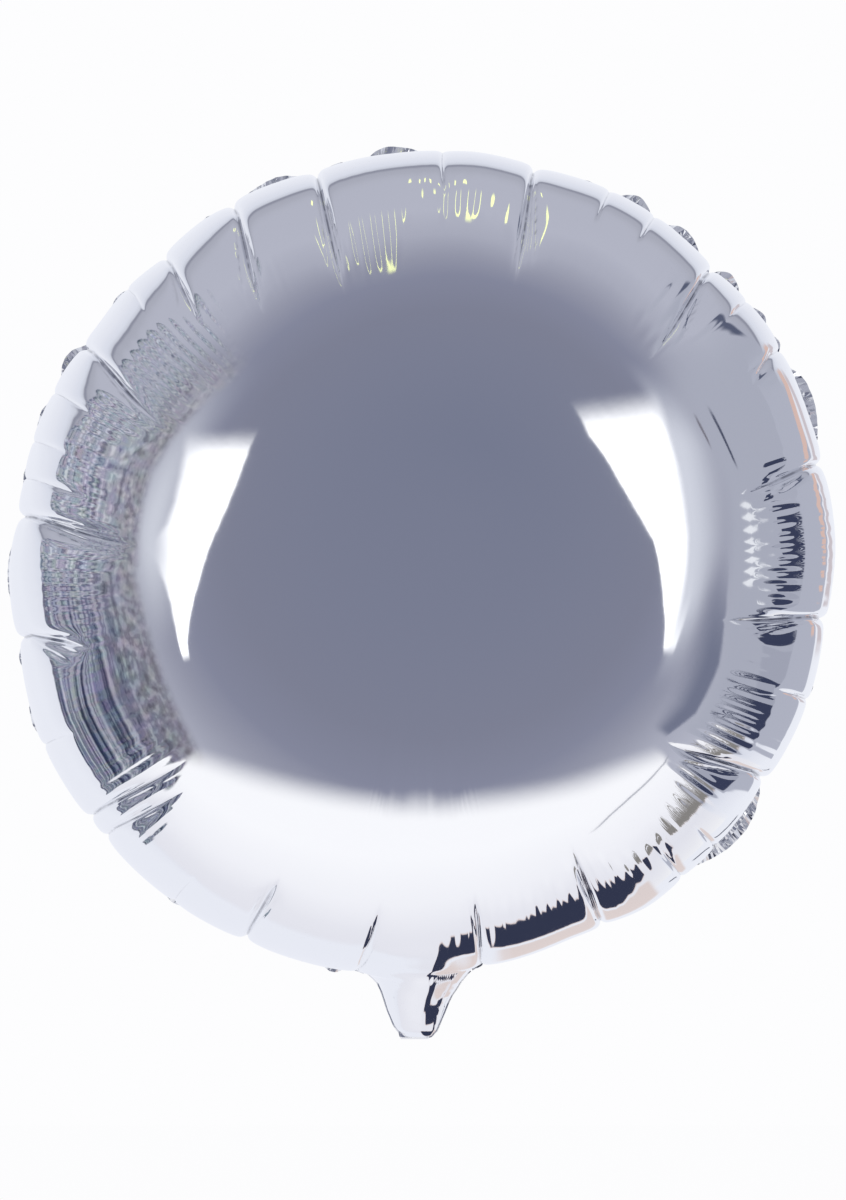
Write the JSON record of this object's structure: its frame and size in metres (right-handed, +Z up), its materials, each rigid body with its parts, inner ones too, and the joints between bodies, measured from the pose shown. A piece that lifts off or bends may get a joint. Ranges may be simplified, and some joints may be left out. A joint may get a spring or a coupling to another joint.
{
  "type": "round foil balloon",
  "caption": "Round inflated foil balloon: front and back film panels welded at a gathered, creased rim, with a short puffed neck.",
  "frame": {"origin": "centre of the inflated balloon, in the plane of its rim weld", "axes": "+Z up, away from the neck; -Y out of the front panel; +X to the right seen from the front"},
  "size_m": [0.3594, 0.214, 0.3831],
  "materials": {
    "metallised_film": "mirror-bright vacuum-metallised plastic film",
    "welded_film": "heat-sealed metallised film, finely crinkled"
  },
  "bodies": {
    "root": {"front_film_panel": "metallised_film", "back_film_panel": "metallised_film", "rim_weld": "welded_film", "neck_weld": "welded_film", "neck_end_seal": "welded_film"}
  },
  "joints": []
}
